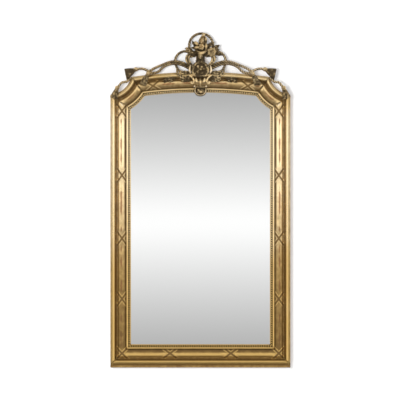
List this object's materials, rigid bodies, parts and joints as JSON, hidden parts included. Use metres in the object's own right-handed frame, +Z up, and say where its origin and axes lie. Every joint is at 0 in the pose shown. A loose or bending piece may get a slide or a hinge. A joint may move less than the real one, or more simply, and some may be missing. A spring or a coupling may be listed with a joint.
{
  "type": "giltwood wall mirror",
  "caption": "Tall wall mirror in a moulded gilt wood frame with hollowed upper corners, pearl sight edge, crossed ribbons, and a carved crest of rope, tassels and flowers; hinged rings behind.",
  "frame": {"origin": "middle of the flat underside of the base strip", "axes": "+Z up, +Y towards the wall, -Y towards the viewer, +X to the viewer's right"},
  "size_m": [0.9072, 0.0828, 1.678],
  "materials": {
    "gilt_moulding": "aged gold leaf over red bole on carved wood",
    "gilt_ornament": "darkened gold leaf on carved wood and composition",
    "silvered_glass": "silvered behind, polished in front",
    "bare_pine": "old unfinished pine, darkened",
    "brass": "dull old brass",
    "steel_screws": "dull steel"
  },
  "bodies": {
    "frame": {"back_boards": "bare_pine", "base_strip": "gilt_moulding", "board_screws": "steel_screws", "bottom_pearls": "gilt_moulding", "bottom_rail": "gilt_moulding", "cartouche_boss": "gilt_ornament", "cartouche_neck": "gilt_ornament", "cartouche_shield": "gilt_ornament", "cleat_screws": "steel_screws", "crest_cleat": "bare_pine", "crest_leaves": "gilt_ornament", "glass_blocks": "bare_pine", "hanger_screws": "steel_screws", "left_acanthus": "gilt_ornament", "left_cartouche_scroll": "gilt_ornament", "left_corner": "gilt_moulding", "left_corner_pearls": "gilt_moulding", "left_corner_rope": "gilt_ornament", "left_hanger_strap": "brass", "left_knot": "gilt_ornament", "left_leaf_spray": "gilt_ornament", "left_lower_tassel": "gilt_ornament", "left_middle_tassel": "gilt_ornament", "left_pearls": "gilt_moulding", "left_rope_loop": "gilt_ornament", "left_rope_swag": "gilt_ornament", "left_rope_tail": "gilt_ornament", "left_rosette": "gilt_ornament", "left_stile": "gilt_moulding", "left_strap_scroll": "gilt_ornament", "left_upper_tassel": "gilt_ornament", "main_rose": "gilt_ornament", "mirror_glass": "silvered_glass", "mitre_keys": "bare_pine", "pendant_shell": "gilt_ornament", "ribbon_crosses": "gilt_ornament", "right_acanthus": "gilt_ornament", "right_cartouche_scroll": "gilt_ornament", "right_corner": "gilt_moulding", "right_corner_pearls": "gilt_moulding", "right_corner_rope": "gilt_ornament", "right_hanger_strap": "brass", "right_knot": "gilt_ornament", "right_leaf_spray": "gilt_ornament", "right_lower_tassel": "gilt_ornament", "right_middle_tassel": "gilt_ornament", "right_pearls": "gilt_moulding", "right_rope_loop": "gilt_ornament", "right_rope_swag": "gilt_ornament", "right_rope_tail": "gilt_ornament", "right_rose": "gilt_ornament", "right_stile": "gilt_moulding", "right_strap_scroll": "gilt_ornament", "right_upper_tassel": "gilt_ornament", "tall_bud": "gilt_ornament", "top_pearls": "gilt_moulding", "top_rail": "gilt_moulding", "top_rope_ring": "gilt_ornament"},
    "left_ring": {"left_hanging_ring": "brass"},
    "right_ring": {"right_hanging_ring": "brass"}
  },
  "joints": [
    {"name": "left_ring_swing", "type": "hinge", "parent": "frame", "child": "left_ring", "pos_m": [-0.416, 0.0276, 1.18], "axis": [1, 0, 0], "range_deg": [0, 175]},
    {"name": "right_ring_swing", "type": "hinge", "parent": "frame", "child": "right_ring", "pos_m": [0.416, 0.0276, 1.18], "axis": [1, 0, 0], "range_deg": [0, 175]}
  ]
}
